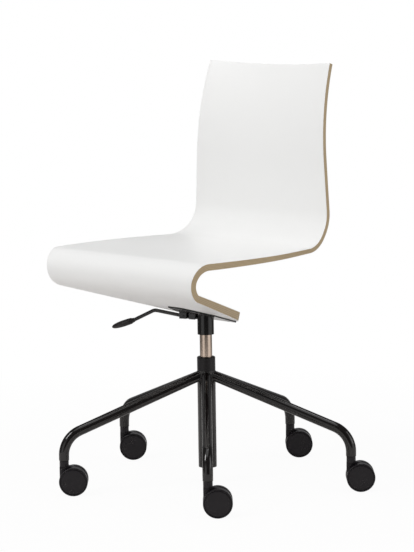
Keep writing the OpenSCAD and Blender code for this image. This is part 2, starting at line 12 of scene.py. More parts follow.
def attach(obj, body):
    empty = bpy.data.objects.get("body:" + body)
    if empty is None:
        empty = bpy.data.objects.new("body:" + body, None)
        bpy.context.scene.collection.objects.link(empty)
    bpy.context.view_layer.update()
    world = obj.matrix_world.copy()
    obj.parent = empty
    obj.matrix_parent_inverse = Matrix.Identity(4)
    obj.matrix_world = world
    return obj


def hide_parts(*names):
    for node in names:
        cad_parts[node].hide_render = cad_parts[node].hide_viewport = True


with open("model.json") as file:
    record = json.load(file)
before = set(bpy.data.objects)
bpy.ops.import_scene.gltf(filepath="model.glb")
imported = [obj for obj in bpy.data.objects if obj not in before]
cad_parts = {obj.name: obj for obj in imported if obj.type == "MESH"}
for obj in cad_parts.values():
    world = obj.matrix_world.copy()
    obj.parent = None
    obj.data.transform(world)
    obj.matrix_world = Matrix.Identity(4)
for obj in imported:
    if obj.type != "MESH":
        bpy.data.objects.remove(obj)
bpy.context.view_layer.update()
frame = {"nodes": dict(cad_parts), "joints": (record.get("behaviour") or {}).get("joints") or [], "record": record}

MM = 0.001
JOINTS = {joint["name"]: joint for joint in frame["joints"]}
NODE_SLOTS = {part["node"]: part["material_slot"] for part in frame["record"]["subparts"]}
scene = bpy.context.scene
scene.view_settings.view_transform = "Standard"

# Camera, fitted to the casters and the column: place in millimetres, angles in radians
FRAME_HEIGHT_PX = 552
FOCAL_PX = 2368.24
SENSOR_MM = 24
CAMERA_AT = Vector((3623.2, -3616.7, 1147.95))
CAMERA_PITCH = 0.1338087
CAMERA_ROLL = 0.0150149


def add_camera():
    data = bpy.data.cameras.new("camera")
    data.sensor_fit = "VERTICAL"
    data.sensor_height = SENSOR_MM
    data.lens = FOCAL_PX * SENSOR_MM / FRAME_HEIGHT_PX
    level = Vector((-1, 1, 0)).normalized()
    forward = level * math.cos(CAMERA_PITCH) - Vector((0, 0, math.sin(CAMERA_PITCH)))
    side = Vector((1, 1, 0)).normalized()
    down = forward.cross(side)
    right = side * math.cos(CAMERA_ROLL) + down * math.sin(CAMERA_ROLL)
    up = side * math.sin(CAMERA_ROLL) - down * math.cos(CAMERA_ROLL)
    turn = Matrix((right, up, -forward)).transposed().to_4x4()
    camera = bpy.data.objects.new("camera", data)
    camera.matrix_world = Matrix.Translation(CAMERA_AT * MM) @ turn
    scene.collection.objects.link(camera)
    scene.camera = camera


add_camera()

# Node helpers
MIX_INPUTS = (0, 6, 7)  # a Mix node's factor and its two colours
MIX_OUTPUT = 2
BEVEL_SAMPLES = 6


class Graph:
    """Adds nodes to a tree: inputs are numbers, colours or the outputs of other nodes."""

    def __init__(self, tree):
        self.tree = tree
        tree.nodes.clear()

    def put(self, socket, value):
        if isinstance(value, bpy.types.NodeSocket):
            self.tree.links.new(value, socket)
        else:
            socket.default_value = value

    def add(self, kind, *values, settings=None, out=0, **inputs):
        """An output of a new node. The values go to its inputs in their order, the others by name."""
        node = self.tree.nodes.new("ShaderNode" + kind)
        for key, value in (settings or {}).items():
            setattr(node, key, value)
        for socket, value in zip(node.inputs, values):
            self.put(socket, value)
        for name, value in inputs.items():
            self.put(node.inputs[name], value)
        return node.outputs[out]

    def math(self, operation, *values):
        return self.add("Math", *values, settings={"operation": operation})

    def vector_math(self, operation, *values):
        """A vector operation whose result is a number."""
        return self.add("VectorMath", *values, settings={"operation": operation}, out="Value")

    def split(self, vector):
        """The X, Y and Z of a vector."""
        node = self.tree.nodes.new("ShaderNodeSeparateXYZ")
        self.put(node.inputs[0], vector)
        return node.outputs[:]

    def remap(self, value, old, new=(0.0, 1.0)):
        return self.add("MapRange", value, *old, *new)

    def mix(self, factor, a, b):
        node = self.tree.nodes.new("ShaderNodeMix")
        node.data_type = "RGBA"
        for index, value in zip(MIX_INPUTS, (factor, a, b)):
            self.put(node.inputs[index], value)
        return node.outputs[MIX_OUTPUT]

    def ramp(self, value, stops):
        node = self.tree.nodes.new("ShaderNodeValToRGB")
        node.color_ramp.interpolation = "LINEAR"
        elements = node.color_ramp.elements
        while len(elements) < len(stops):
            elements.new(0.5)
        for element, (place, colour) in zip(elements, stops):
            element.position = place
            element.color = colour
        self.put(node.inputs[0], value)
        return node.outputs[0]

    def noise(self, vector, scale, detail=3.0, roughness=0.5):
        return self.add("TexNoise", Vector=vector, Scale=scale, Detail=detail, Roughness=roughness)

    def stretch(self, vector, scale):
        return self.add("Mapping", Vector=vector, Scale=scale)

    def output(self, kind, shader):
        node = self.tree.nodes.new("ShaderNodeOutput" + kind)
        self.put(node.inputs[0], shader)


def linear(rgb):
    """An sRGB colour from 0 to 255 as linear RGBA."""
    shares = [c / 255 for c in rgb]
    return tuple(s / 12.92 if s <= 0.04045 else ((s + 0.055) / 1.055) ** 2.4 for s in shares) + (1.0,)


def shade(rgba, factor):
    return tuple(c * factor for c in rgba[:3]) + (1.0,)


def grey(value):
    return (value, value, value, 1.0)


def new_material(name):
    material = bpy.data.materials.new(name)
    material.use_nodes = True
    return material, Graph(material.node_tree)


def object_coords(g):
    return g.add("TexCoord", out="Object")


def rounded_normal(g, radius):
    return g.add("Bevel", settings={"samples": BEVEL_SAMPLES}, Radius=radius)


def finish_material(g, colour, roughness, height, depth, edge=0.0004, metallic=0.0, specular=0.5):
    """The shader with a bump of the given height map, and slightly rounded edges."""
    normal = g.add("Bump", Strength=1.0, Distance=depth, Height=height, Normal=rounded_normal(g, edge))
    shader = g.tree.nodes.new("ShaderNodeBsdfPrincipled")
    g.put(shader.inputs["Base Color"], colour)
    g.put(shader.inputs["Roughness"], roughness)
    g.put(shader.inputs["Normal"], normal)
    shader.inputs["Metallic"].default_value = metallic
    shader.inputs["Specular IOR Level"].default_value = specular
    g.output("Material", shader.outputs[0])


def edge_mask(g, radius):
    """1 on the sharp edges of a piece, 0 on its faces."""
    flat = g.add("NewGeometry", out="Normal")
    return g.remap(g.vector_math("DOT_PRODUCT", rounded_normal(g, radius), flat), (1.0, 0.8))


# Materials: texture scales are per metre of a piece's own coordinates, bump depths in metres
def painted(name, rgb, rough, grain=700.0, depth=0.4e-6, wear=0.35, specular=0.62):
    """Enamel on steel: faint clouding, orange peel, and edges rubbed a little lighter."""
    material, g = new_material(name)
    at = object_coords(g)
    cloud = g.noise(at, scale=14.0, detail=4.0, roughness=0.6)
    peel = g.noise(at, scale=grain, detail=2.0)
    base = linear(rgb)
    colour = g.mix(cloud, shade(base, 0.75), shade(base, 1.25))
    scratch = g.noise(g.stretch(at, (240.0, 240.0, 30.0)), scale=4.0, detail=5.0, roughness=0.7)
    worn = g.math("MULTIPLY", edge_mask(g, 0.0007), g.remap(scratch, (0.45, 0.7), (0.2, 1.0)))
    colour = g.mix(g.math("MULTIPLY", worn, wear), colour, shade(base, 3.2))
    uneven = g.math("ADD", cloud, g.math("MULTIPLY", peel, 0.4))
    roughness = g.remap(uneven, (0.4, 1.1), (rough - 0.03, rough + 0.05))
    finish_material(g, colour, roughness, peel, depth, specular=specular)
    return material


def moulded(name, rgb, rough, grain=1500.0, depth=8e-6, specular=0.35):
    """Injection-moulded plastic: a fine spark-eroded grain and slight clouding."""
    material, g = new_material(name)
    at = object_coords(g)
    cloud = g.noise(at, scale=22.0, roughness=0.55)
    grains = g.add("TexVoronoi", settings={"feature": "SMOOTH_F1"}, Vector=at, Scale=grain)
    base = linear(rgb)
    colour = g.mix(cloud, shade(base, 0.82), shade(base, 1.18))
    colour = g.mix(g.math("MULTIPLY", edge_mask(g, 0.0006), 0.3), colour, shade(base, 2.4))
    roughness = g.remap(cloud, (0.3, 0.7), (rough - 0.05, rough + 0.06))
    finish_material(g, colour, roughness, grains, depth, specular=specular)
    return material


def metal(name, rgb, rough, lines, depth=10e-6, tint=0.12):
    """Bare or plated metal with fine tool lines, which lie across the axis that is stretched the most."""
    material, g = new_material(name)
    at = object_coords(g)
    streak = g.noise(g.stretch(at, lines), scale=8.0, detail=4.0, roughness=0.6)
    cloud = g.noise(at, scale=30.0)
    base = linear(rgb)
    colour = g.mix(cloud, shade(base, 1.0 - tint), base)
    roughness = g.remap(g.math("MULTIPLY", streak, cloud), (0.1, 0.45), (rough - 0.04, rough + 0.06))
    finish_material(g, colour, roughness, streak, depth, metallic=1.0)
    return material


def laminate(name, rgb):
    """High-pressure laminate: satin, with a very fine pearl texture and faint marks of use."""
    material, g = new_material(name)
    at = object_coords(g)
    pearl = g.noise(at, scale=1400.0, detail=2.0)
    cloud = g.noise(at, scale=5.0)
    marks = g.noise(g.stretch(at, (60.0, 18.0, 40.0)), scale=3.0, detail=5.0, roughness=0.65)
    base = linear(rgb)
    colour = g.mix(cloud, shade(base, 0.985), base)
    dust = g.remap(marks, (0.62, 0.8), (0.0, 0.05))
    colour = g.mix(dust, colour, shade(base, 0.8))
    colour = g.mix(g.math("MULTIPLY", edge_mask(g, 0.0004), 0.25), colour, shade(base, 0.9))
    roughness = g.remap(g.math("ADD", marks, cloud), (0.7, 1.3), (0.36, 0.46))
    finish_material(g, colour, roughness, pearl, depth=12e-6, edge=0.0003)
    return material


PLIES = 9
FIBRE_DARK, FIBRE_LIGHT = (172, 151, 118), (209, 190, 156)
PORE_DARK, PORE_LIGHT = (148, 125, 95), (192, 171, 137)
PALE_PLY = (200, 178, 139)
GLUE = (112, 90, 66)
GLUE_SHARE = 0.09  # half the width of a glue line, as a share of a veneer
WAVINESS = 0.008  # how far the veneers stray from their place, as a share of the shell's thickness


def plywood(name):
    """Edge of moulded beech plywood: veneers with their grain along and across by turns, and glue lines.
    The map's V runs through the thickness from 0 to 1, its U along the edge in metres."""
    material, g = new_material(name)
    edge_map = g.add("UVMap", settings={"uv_map": "plies"})
    lengthwise, through = g.split(edge_map)[:2]
    wobble = g.noise(g.stretch(edge_map, (18.0, 2.0, 1.0)), scale=1.0)
    place = g.math("ADD", through, g.remap(wobble, (0.0, 1.0), (-WAVINESS, WAVINESS)))
    level = g.math("MULTIPLY", place, float(PLIES))
    ply = g.math("FLOOR", level)
    odd = g.math("MODULO", ply, 2.0)
    glue = g.math("SUBTRACT", 1.0, g.remap(g.math("PINGPONG", level, 0.5), (0.0, GLUE_SHARE)))

    def spread(edge_scale, level_scale):
        return g.add("CombineXYZ", g.math("MULTIPLY", lengthwise, edge_scale),
                     g.math("MULTIPLY", level, level_scale), ply)

    fibre = g.noise(spread(60.0, 9.0), scale=6.0, detail=5.0, roughness=0.65)
    pore = g.noise(spread(1500.0, 5.0), scale=1.0, detail=4.0, roughness=0.7)
    tone = g.noise(g.add("CombineXYZ", g.math("MULTIPLY", lengthwise, 5.0), ply), scale=3.0, detail=2.0)
    long_grain = g.mix(fibre, linear(FIBRE_DARK), linear(FIBRE_LIGHT))
    end_grain = g.mix(pore, linear(PORE_DARK), linear(PORE_LIGHT))
    colour = g.mix(odd, long_grain, end_grain)
    colour = g.mix(g.remap(tone, (0.35, 0.65), (0.0, 0.35)), colour, linear(PALE_PLY))
    colour = g.mix(g.math("MULTIPLY", glue, 0.45), colour, linear(GLUE))
    pits = g.math("SUBTRACT", g.math("MULTIPLY", pore, odd), g.math("MULTIPLY", glue, 0.8))
    height = g.math("ADD", g.math("MULTIPLY", fibre, 0.5), pits)
    dullness = g.math("ADD", fibre, g.math("MULTIPLY", odd, 0.3))
    roughness = g.remap(dullness, (0.3, 1.0), (0.42, 0.6))
    finish_material(g, colour, roughness, height, depth=60e-6, edge=0.0003)
    return material


MATERIALS = {
    "black_paint": painted("black_paint", (15, 11, 10), 0.12),
    "black_screw": painted("black_screw", (30, 27, 28), 0.34, grain=1600.0, wear=0.6),
    "collar_plastic": moulded("collar_plastic", (22, 18, 20), 0.38),
    "caster_plastic": moulded("caster_plastic", (21, 17, 22), 0.3, specular=0.36),
    "grip_plastic": moulded("grip_plastic", (34, 30, 31), 0.4),
    "steel": metal("steel", (178, 178, 182), 0.26, lines=(30.0, 30.0, 900.0)),
    "nickel_tube": metal("nickel_tube", (222, 201, 184), 0.16, lines=(20.0, 20.0, 1600.0)),
    "aluminium": metal("aluminium", (196, 198, 202), 0.33, lines=(300.0, 300.0, 300.0)),
    "seal_rubber": moulded("seal_rubber", (26, 26, 28), 0.75),
    "plywood": plywood("plywood"),
    "white_laminate": laminate("white_laminate", (246, 246, 245)),
}

for node_name, obj in frame["nodes"].items():
    obj.data.materials.clear()
    obj.data.materials.append(MATERIALS[NODE_SLOTS[node_name]])
    for polygon in obj.data.polygons:
        polygon.material_index = 0


# Mesh helpers
def circle(sides):
    """The cosine and sine at each corner of a regular polygon."""
    angles = [2 * math.pi * m / sides for m in range(sides)]
    return [(math.cos(a), math.sin(a)) for a in angles]


def skin(mesh, rings, closed=False):
    """Faces between neighbouring rings of vertices. A ring that is a point repeats its one vertex."""
    for ring, following in zip(rings, rings[1:] + (rings[:1] if closed else [])):
        for m in range(len(ring)):
            n = (m + 1) % len(ring)
            corners = list(dict.fromkeys((ring[m], ring[n], following[n], following[m])))
            if len(corners) > 2:
                mesh.faces.new(corners)


def face_outwards(mesh):
    """Turns the faces of a closed mesh outwards."""
    bmesh.ops.recalc_face_normals(mesh, faces=mesh.faces)
    if mesh.calc_volume(signed=True) < 0:
        bmesh.ops.reverse_faces(mesh, faces=mesh.faces)


def turned(section, sides):
    """A body turned about Z from the points (radius, height) of its section."""
    mesh = bmesh.new()
    rings = []
    for radius, height in section:
        if radius:
            rings.append([mesh.verts.new((radius * c, radius * s, height)) for c, s in circle(sides)])
        else:
            rings.append([mesh.verts.new((0, 0, height))] * sides)
    skin(mesh, rings, closed=True)
    face_outwards(mesh)
    return mesh


def from_bmesh(name, mesh, slot, sharp_degrees=35):
    """An object of a closed mesh, which is smooth but for the edges sharper than the angle."""
    face_outwards(mesh)
    data = bpy.data.meshes.new(name)
    mesh.to_mesh(data)
    mesh.free()
    for polygon in data.polygons:
        polygon.use_smooth = True
    data.set_sharp_from_angle(angle=math.radians(sharp_degrees))
    obj = bpy.data.objects.new(name, data)
    scene.collection.objects.link(obj)
    data.materials.append(MATERIALS[slot])
    return obj


# Shell, from the same sizes as its solids, in millimetres and degrees
FLANGE_LEN = 296.0
FLANGE_OVERHANG = 52.2
FLANGE_SLOPE = 17.5
FLANGE_CORNER_R = 42.0
FLANGE_Z = 371.8956  # height of the flange's underside on the column's axis
ROLL_R = 42.0
SEAT_LEN = 323.2
SEAT_SLOPE = 0.3
BEND_R = 71.4
LUMBAR_LEAN = 0.6
LUMBAR_LEN = 111.8
BACK_R = 586.0
BACK_RECLINE = 20.1
BACK_BOW = 20.0
BOW_POWER = 1.5
FLANGE_END_W = 132
FLANGE_FRONT_W = 421
NOSE_W = 446
SEAT_W = 483
BACK_LOW_W = 401
BACK_TOP_W = 364
WIDEST_FROM, WIDEST_TO = 0.16, 0.62  # where the seat is widest, as shares of its length
BEND_WIDTH_SHARE = 0.1  # of the narrowing from the seat to the back that is left in mid-bend
FLANGE_T = 19.5
ROLL_T = 15.3
SEAT_FRONT_T = 14.7
BEND_T = 10.2
TOP_T = 10
TAPER_LEFT_SHARE = 0.05  # of the thinning that is left where the roll and the bend begin
LUMBAR_THINNING_SHARE = 0.3  # of the thinning from the bend to the top that is done where the lumbar begins
LAMINATE_T = 0.6

# Stretches of the profile, from the flange's rear end up the back: length, heading at its start, turn
roll_turn = 180 - FLANGE_SLOPE + SEAT_SLOPE
bend_turn = 90 + LUMBAR_LEAN + SEAT_SLOPE
back_turn = LUMBAR_LEAN + BACK_RECLINE
STRETCHES = [
    (FLANGE_LEN, 180 - FLANGE_SLOPE, 0.0),
    (ROLL_R * math.radians(roll_turn), 180 - FLANGE_SLOPE, -roll_turn),
    (SEAT_LEN, -SEAT_SLOPE, 0.0),
    (BEND_R * math.radians(bend_turn), -SEAT_SLOPE, bend_turn),
    (LUMBAR_LEN, 90 + LUMBAR_LEAN, 0.0),
    (BACK_R * math.radians(back_turn), 90 + LUMBAR_LEAN, -back_turn),
]
FLANGE, ROLL, SEAT, BEND, LUMBAR, BACK, TOP = range(7)


def along(stretch, share):
    """How far a share of a stretch leads, as (y, z)."""
    length, heading, turn = stretch
    half = math.radians(turn * share / 2)
    chord = length * share * (math.sin(half) / half if half else 1)
    angle = math.radians(heading) + half
    return Vector((chord * math.cos(angle), chord * math.sin(angle)))


# Where each stretch starts, as (y, z) and as a run along the profile
slope = math.radians(FLANGE_SLOPE)
STARTS = [Vector((FLANGE_OVERHANG * math.cos(slope), FLANGE_Z - FLANGE_OVERHANG * math.sin(slope)))]
RUNS = [0.0]
for piece in STRETCHES:
    STARTS.append(STARTS[-1] + along(piece, 1))
    RUNS.append(RUNS[-1] + piece[0])


def between(a, b, share):
    return a + (b - a) * share


# Keys (run, value) of the shell's width and thickness
mid_roll = between(RUNS[ROLL], RUNS[SEAT], 0.5)
mid_bend = between(RUNS[BEND], RUNS[LUMBAR], 0.5)
WIDTHS = [
    (RUNS[FLANGE], FLANGE_END_W),
    (RUNS[ROLL], FLANGE_FRONT_W),
    (mid_roll, NOSE_W),
    (between(RUNS[SEAT], RUNS[BEND], WIDEST_FROM), SEAT_W),
    (between(RUNS[SEAT], RUNS[BEND], WIDEST_TO), SEAT_W),
    (mid_bend, between(BACK_LOW_W, SEAT_W, BEND_WIDTH_SHARE)),
    (RUNS[LUMBAR], BACK_LOW_W),
    (RUNS[TOP], BACK_TOP_W),
]
THICKNESSES = [
    (RUNS[FLANGE], FLANGE_T),
    (RUNS[ROLL], between(ROLL_T, FLANGE_T, TAPER_LEFT_SHARE)),
    (mid_roll, ROLL_T),
    (RUNS[SEAT], SEAT_FRONT_T),
    (RUNS[BEND], between(BEND_T, SEAT_FRONT_T, TAPER_LEFT_SHARE)),
    (RUNS[LUMBAR], between(BEND_T, TOP_T, LUMBAR_THINNING_SHARE)),
    (RUNS[TOP], TOP_T),
]


def curve(keys, run):
    """A smooth curve through keys (run, value)."""
    last = len(keys) - 1

    def rate(i):
        a, b = keys[max(i - 1, 0)], keys[min(i + 1, last)]
        return (b[1] - a[1]) / (b[0] - a[0])

    i = 0
    while i < last - 1 and run > keys[i + 1][0]:
        i += 1
    h = keys[i + 1][0] - keys[i][0]
    t = (run - keys[i][0]) / h
    return (keys[i][1] * (1 + 2 * t) * (1 - t) ** 2 + rate(i) * h * t * (1 - t) ** 2
            + keys[i + 1][1] * t * t * (3 - 2 * t) + rate(i + 1) * h * t * t * (t - 1))


def half_width(run):
    """Half the shell's width at a run, with the corners of the flange's end rounded."""
    r = FLANGE_CORNER_R
    cut = r - math.sqrt(max(r * r - (r - run) ** 2, 0)) if run < r else 0
    return curve(WIDTHS, run) / 2 - cut


def shell_point(run, x, core_share, laminates):
    """A point of the shell at a run along the profile and a distance from its middle, in metres."""
    i = FLANGE
    while i < BACK and run > RUNS[i + 1]:
        i += 1
    share = (run - RUNS[i]) / STRETCHES[i][0]
    base = STARTS[i] + along(STRETCHES[i], share)
    heading = math.radians(STRETCHES[i][1] + STRETCHES[i][2] * share)
    depth = (curve(THICKNESSES, run) - 2 * LAMINATE_T) * core_share + LAMINATE_T * laminates
    up_the_back = (run - RUNS[BEND]) / (RUNS[TOP] - RUNS[BEND])
    if up_the_back > 0:
        across = x / half_width(run)
        depth += BACK_BOW * up_the_back ** BOW_POWER * (1 - across * across)
    return Vector((x, base[0] + math.sin(heading) * depth, base[1] - math.cos(heading) * depth)) * MM


# The grid of the shell's faces: columns across, and rows along each stretch and round the flange's corners
COLUMNS = 40
CORNER_ROWS = 14
ROW_COUNTS = (26, 56, 24, 40, 12, 40)
ROW_RUNS = [FLANGE_CORNER_R * (1 - math.cos(math.pi / 2 * k / CORNER_ROWS)) for k in range(CORNER_ROWS)]
for start, end, count in zip([FLANGE_CORNER_R] + RUNS[ROLL:TOP], RUNS[ROLL:], ROW_COUNTS):
    ROW_RUNS += [start + (end - start) * k / count for k in range(count)]
ROW_RUNS.append(RUNS[TOP])


def rim_loop():
    """The grid's outer points in order round the shell, as (row, column)."""
    last_row = len(ROW_RUNS) - 1
    return ([(0, j) for j in range(COLUMNS)] + [(i, COLUMNS) for i in range(last_row)]
            + [(last_row, j) for j in range(COLUMNS, 0, -1)] + [(i, 0) for i in range(last_row, 0, -1)])


def shell_layer(name, levels, slot, node):
    """A closed layer of the shell. Each level is (core share, laminates, how far the rim is drawn in)."""
    flat = {(i, j): Vector((run, (2 * j / COLUMNS - 1) * half_width(run)))
            for i, run in enumerate(ROW_RUNS) for j in range(COLUMNS + 1)}
    loop = rim_loop()
    # Along the rim: which way is inward, and the length so far
    inward = {}
    lengths = [0.0]
    for k, key in enumerate(loop):
        following = flat[loop[(k + 1) % len(loop)]]
        step = following - flat[loop[k - 1]]
        inward[key] = Vector((step.y, -step.x)).normalized()
        lengths.append(lengths[-1] + (following - flat[key]).length)
    mesh = bmesh.new()
    uv = mesh.loops.layers.uv.new("plies")

    def vertex(key, level):
        share, laminates, inset = level
        place = flat[key] + inward.get(key, Vector((0, 0))) * inset
        return mesh.verts.new(shell_point(min(max(place.x, 0), RUNS[TOP]), place.y, share, laminates))

    first = {key: vertex(key, levels[0]) for key in flat}
    last = {key: vertex(key, levels[-1]) for key in flat}
    rims = [[first[key] for key in loop]]
    rims += [[vertex(key, level) for key in loop] for level in levels[1:-1]]
    rims.append([last[key] for key in loop])
    # The two broad faces
    for i in range(len(ROW_RUNS) - 1):
        for j in range(COLUMNS):
            corners = ((i, j), (i + 1, j), (i + 1, j + 1), (i, j + 1))
            mesh.faces.new([first[c] for c in corners])
            mesh.faces.new([last[c] for c in reversed(corners)])
    # The rim's faces, with the map of the plies
    depth_shares = [k / (len(levels) - 1) for k in range(len(levels))]
    for k in range(len(loop)):
        n = (k + 1) % len(loop)
        for a in range(len(levels) - 1):
            face = mesh.faces.new((rims[a][k], rims[a][n], rims[a + 1][n], rims[a + 1][k]))
            values = ((lengths[k], depth_shares[a]), (lengths[k + 1], depth_shares[a]),
                      (lengths[k + 1], depth_shares[a + 1]), (lengths[k], depth_shares[a + 1]))
            for corner, (u, v) in zip(face.loops, values):
                corner[uv].uv = (u * MM, v)
    obj = from_bmesh(name, mesh, slot)
    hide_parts(node)
    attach(obj, "seat")


# Rim of a laminate: depth under its face as a share of its thickness, and how far it is drawn in there
TRIM = [(0, 0.45), (0.12, 0.18), (0.4, 0.03), (1, 0)]

shell_layer("shell_plywood", [(0, 1, 0), (0.5, 1, 0), (1, 1, 0)], "plywood", "shell_core")
shell_layer("shell_front_white", [(0, depth, inset) for depth, inset in TRIM],
            "white_laminate", "shell_front_laminate")
shell_layer("shell_rear_white", [(1, 2 - depth, inset) for depth, inset in reversed(TRIM)],
            "white_laminate", "shell_rear_laminate")

# Weld beads at the leg roots, in millimetres and degrees
LEG_COUNT = 5
LEG_R = 11.0
COLUMN_R = 20.0
LEG_ROOT_Z = 245.0
LEG_SLOPE = 20.3
LEG_TURN = 45.0
BEAD_R = 1.3
BEAD_STEPS = 96
BEAD_SIDES = 10
RIPPLES = 22
RIPPLE_SHARE = 0.16
UNEVEN_SHARE = 0.06
WELD_SEED = 100


def bead_point(share):
    """A point of the seam between the column and a leg along X, at a share of the way round the leg."""
    phi = 2 * math.pi * share
    across, above = LEG_R * math.cos(phi), LEG_R * math.sin(phi)
    c, s = math.cos(math.radians(LEG_SLOPE)), math.sin(math.radians(LEG_SLOPE))
    reach = (math.sqrt(COLUMN_R ** 2 - across ** 2) - above * s) / c
    return Vector((reach * c + above * s, across, LEG_ROOT_Z - reach * s + above * c))


def weld_bead(k):
    """A rippled fillet weld where a leg meets the column."""
    spin = Matrix.Rotation(math.radians(LEG_TURN - 90 + k * 360 / LEG_COUNT), 3, "Z")
    draw = random.Random(WELD_SEED + k)
    path = [bead_point(step / BEAD_STEPS) for step in range(BEAD_STEPS)]
    mesh = bmesh.new()
    rings = []
    for step, point in enumerate(path):
        ripple = RIPPLE_SHARE * math.cos(2 * math.pi * RIPPLES * step / BEAD_STEPS)
        radius = BEAD_R * (1 + ripple + draw.uniform(-UNEVEN_SHARE, UNEVEN_SHARE))
        tangent = (path[(step + 1) % BEAD_STEPS] - path[step - 1]).normalized()
        side = Vector((point.x, point.y, 0)).normalized()
        side = (side - tangent * side.dot(tangent)).normalized()
        other = tangent.cross(side)
        rings.append([mesh.verts.new(spin @ (point + (side * c + other * s) * radius) * MM)
                      for c, s in circle(BEAD_SIDES)])
    skin(mesh, rings, closed=True)
    obj = from_bmesh(f"weld_bead_{k + 1}", mesh, "black_paint", sharp_degrees=80)
    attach(obj, "base")


for k in range(LEG_COUNT):
    weld_bead(k)

# Lever grip, at the end of a rod of the same sizes as its solid, in millimetres and degrees
LEVER_RISE = 7.6
LEVER_DROOP = 26.0
LEVER_INNER = 73.4
LEVER_OUTER = 57.0
GRIP_TILT = 6.8
# (distance along the grip, half width, half thickness)
GRIP_SECTIONS = [(-0.1, 4.2, 4.2), (0.5, 5.0, 5.0), (3.6, 5.2, 5.2), (4.3, 4.9, 4.9), (4.9, 6.0, 5.4),
                 (6.2, 7.8, 6.3), (9, 9.3, 6.8), (15, 10.3, 7.1), (24, 10.9, 7.25), (33, 11.0, 7.1),
                 (41, 10.4, 6.6), (48, 9.0, 5.7), (53, 7.0, 4.5), (56, 4.8, 3.1), (57.6, 2.4, 1.6),
                 (57.9, 1.0, 0.7)]
GRIP_SIDES = 40


def tilt(degrees):
    """A turn that lifts what points outwards, along -X."""
    return Matrix.Rotation(math.radians(degrees), 4, "Y")


def outward(distance):
    """A move away from the chair along -X."""
    return Matrix.Translation((-distance * MM, 0, 0))


def lever_grip():
    """A flattened paddle with a round collar where the rod enters it."""
    hinge = JOINTS["lever_hinge"]
    axis = Vector(hinge["axis"]).normalized()
    sweep = math.atan2(-axis.x, axis.y)
    inner_rod = tilt(LEVER_RISE) @ outward(LEVER_INNER)
    outer_rod = tilt(-LEVER_RISE - LEVER_DROOP) @ outward(LEVER_OUTER)
    place = (Matrix.Translation(Vector(hinge["pos_m"])) @ Matrix.Rotation(sweep, 4, "Z")
             @ inner_rod @ outer_rod @ tilt(GRIP_TILT))
    mesh = bmesh.new()
    rings = []
    for run, half_w, half_t in GRIP_SECTIONS:
        rings.append([mesh.verts.new(place @ (Vector((-run, half_w * c, half_t * s)) * MM))
                      for c, s in circle(GRIP_SIDES)])
    skin(mesh, rings)
    mesh.faces.new(rings[0])
    mesh.faces.new(rings[-1])
    obj = from_bmesh("grip_paddle", mesh, "grip_plastic", sharp_degrees=50)
    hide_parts("lever_grip")
    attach(obj, "lever")


lever_grip()

# Caster wheels: radii, and distances from the caster's middle
WHEEL_SIDES = 72
WHEEL_R = 31.0
WHEEL_INNER, WHEEL_OUTER = 7.0, 21.0
BORE_R, BORE_END = 4.06, 18.26
BOSS_R, BOSS_FACE_R, BOSS_CHAMFER = 8.06, 7.6, 0.5
RIM_R, RIM_FACE_R, RIM_CHAMFER = 26.66, 27.0, 0.4
POCKET_END = 15.4
EDGE_R, INNER_EDGE_R, LIP_R = 1.4, 0.9, 0.5
LIP_IN_R = 28.4
GROOVE = [(28.3, 19.8), (27.9, 19.5), (27.4, 19.5), (27.1, 19.8), (26.9, 20.3), (26.5, 20.5), (25.5, 20.56)]
DOMED_DISC = [(20, 20.72), (12, 20.84), (5, 20.9), (0, 20.92)]


def rounding(centre_r, centre_h, radius, start, end, steps=5):
    """Points (radius, distance from the caster's middle) along a rounded corner of a wheel's section."""
    angles = (math.radians(start + (end - start) * i / steps) for i in range(steps + 1))
    return [(centre_r + radius * math.cos(a), centre_h + radius * math.sin(a)) for a in angles]


# Section of a wheel: bore, boss, pocket, rim, tread, lip, groove, a slightly domed disc and the bore's end
WHEEL_SECTION = [(BORE_R, WHEEL_INNER), (BOSS_FACE_R, WHEEL_INNER), (BOSS_R, WHEEL_INNER + BOSS_CHAMFER),
                 (BOSS_R, POCKET_END), (RIM_R, POCKET_END), (RIM_R, WHEEL_INNER + RIM_CHAMFER),
                 (RIM_FACE_R, WHEEL_INNER)]
WHEEL_SECTION += rounding(WHEEL_R - INNER_EDGE_R, WHEEL_INNER + INNER_EDGE_R, INNER_EDGE_R, -90, 0)
WHEEL_SECTION += rounding(WHEEL_R - EDGE_R, WHEEL_OUTER - EDGE_R, EDGE_R, 0, 90)
WHEEL_SECTION += rounding(LIP_IN_R + LIP_R, WHEEL_OUTER - LIP_R, LIP_R, 90, 180)
WHEEL_SECTION += GROOVE + DOMED_DISC + [(0, BORE_END), (BORE_R, BORE_END)]


def caster_wheel(joint):
    """A wheel turned about its axle, in place of the plain one."""
    node = joint["name"].replace("wheel_spin", "wheel")
    out = Vector(joint["axis"]).normalized() * (-1 if node.endswith("near") else 1)
    across = Vector((0, 0, 1)).cross(out).normalized()
    turn = Matrix((across, out.cross(across), out)).transposed().to_4x4()
    mesh = turned(WHEEL_SECTION, WHEEL_SIDES)
    mesh.transform(Matrix.Translation(Vector(joint["pos_m"])) @ turn @ Matrix.Scale(MM, 4))
    obj = from_bmesh("disc_" + node, mesh, "caster_plastic", sharp_degrees=40)
    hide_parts(node)
    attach(obj, node)


for joint in frame["joints"]:
    if joint["name"].startswith("wheel_spin"):
        caster_wheel(joint)

